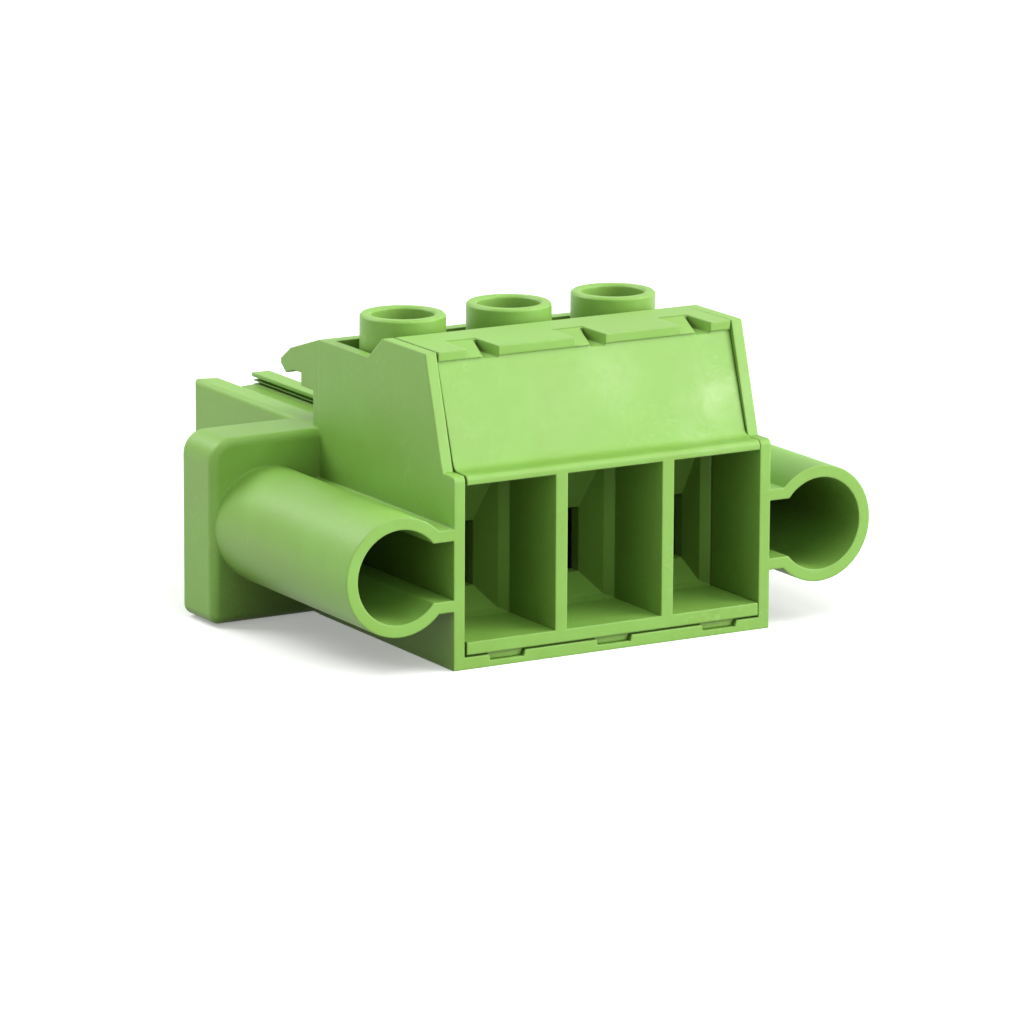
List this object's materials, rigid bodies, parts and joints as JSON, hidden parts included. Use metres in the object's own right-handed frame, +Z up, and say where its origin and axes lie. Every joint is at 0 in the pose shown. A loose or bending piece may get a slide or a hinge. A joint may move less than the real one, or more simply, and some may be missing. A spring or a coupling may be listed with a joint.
{
  "type": "pluggable terminal block",
  "caption": "Green pluggable screw terminal block with a sloping front, round screw collars and tube-shaped screw flanges at both ends.",
  "frame": {"origin": "middle of the block's footprint, on the plane that its underside stands on", "axes": "+X to the right across the poles seen from the wire entries, +Y from the wire entries to the mating end, +Z up through the screw collars"},
  "size_m": [0.0506, 0.0452, 0.0262],
  "materials": {
    "green_polyamide": "satin moulded",
    "zinc_plated_steel": "bright zinc",
    "tinned_copper": "tin plated",
    "spring_steel": "rolled"
  },
  "bodies": {
    "housing": {"housing_shell": "green_polyamide", "wire_entry_insert": "green_polyamide", "socket_contact_1": "tinned_copper", "socket_contact_2": "tinned_copper", "socket_contact_3": "tinned_copper", "contact_spring_1": "spring_steel", "contact_spring_2": "spring_steel", "contact_spring_3": "spring_steel"},
    "clamp_screw_1": {"clamp_screw_1": "zinc_plated_steel"},
    "clamp_cage_1": {"clamp_cage_1": "zinc_plated_steel"},
    "clamp_screw_2": {"clamp_screw_2": "zinc_plated_steel"},
    "clamp_cage_2": {"clamp_cage_2": "zinc_plated_steel"},
    "clamp_screw_3": {"clamp_screw_3": "zinc_plated_steel"},
    "clamp_cage_3": {"clamp_cage_3": "zinc_plated_steel"},
    "flange_ring_left": {"retaining_ring_left": "spring_steel"},
    "flange_screw_left": {"flange_screw_left": "zinc_plated_steel"},
    "flange_ring_right": {"retaining_ring_right": "spring_steel"},
    "flange_screw_right": {"flange_screw_right": "zinc_plated_steel"}
  },
  "joints": [
    {"name": "clamp_screw_1_turn", "type": "hinge", "parent": "housing", "child": "clamp_screw_1", "pos_m": [-0.01016, -0.00547, 0.018], "axis": [0, 0, -1], "range_deg": [0, 2780]},
    {"name": "clamp_cage_1_lift", "type": "slide", "parent": "housing", "child": "clamp_cage_1", "axis": [0, 0, 1], "range_m": [0, 0.0054]},
    {"name": "clamp_screw_2_turn", "type": "hinge", "parent": "housing", "child": "clamp_screw_2", "pos_m": [0, -0.00547, 0.018], "axis": [0, 0, -1], "range_deg": [0, 2780]},
    {"name": "clamp_cage_2_lift", "type": "slide", "parent": "housing", "child": "clamp_cage_2", "axis": [0, 0, 1], "range_m": [0, 0.0054]},
    {"name": "clamp_screw_3_turn", "type": "hinge", "parent": "housing", "child": "clamp_screw_3", "pos_m": [0.01016, -0.00547, 0.018], "axis": [0, 0, -1], "range_deg": [0, 2780]},
    {"name": "clamp_cage_3_lift", "type": "slide", "parent": "housing", "child": "clamp_cage_3", "axis": [0, 0, 1], "range_m": [0, 0.0054]},
    {"name": "flange_screw_left_play", "type": "slide", "parent": "housing", "child": "flange_ring_left", "axis": [0, -1, 0], "range_m": [0, 0.0014]},
    {"name": "flange_screw_left_turn", "type": "hinge", "parent": "flange_ring_left", "child": "flange_screw_left", "pos_m": [-0.02005, 0.0048, 0.00836], "axis": [0, 1, 0], "continuous": true},
    {"name": "flange_screw_right_play", "type": "slide", "parent": "housing", "child": "flange_ring_right", "axis": [0, -1, 0], "range_m": [0, 0.0014]},
    {"name": "flange_screw_right_turn", "type": "hinge", "parent": "flange_ring_right", "child": "flange_screw_right", "pos_m": [0.02005, 0.0048, 0.00836], "axis": [0, 1, 0], "continuous": true}
  ],
  "couplings": [
    {"joint": "clamp_screw_1_turn", "follows": "clamp_cage_1_lift", "rad_per_m": 8976},
    {"joint": "clamp_screw_2_turn", "follows": "clamp_cage_2_lift", "rad_per_m": 8976},
    {"joint": "clamp_screw_3_turn", "follows": "clamp_cage_3_lift", "rad_per_m": 8976}
  ]
}
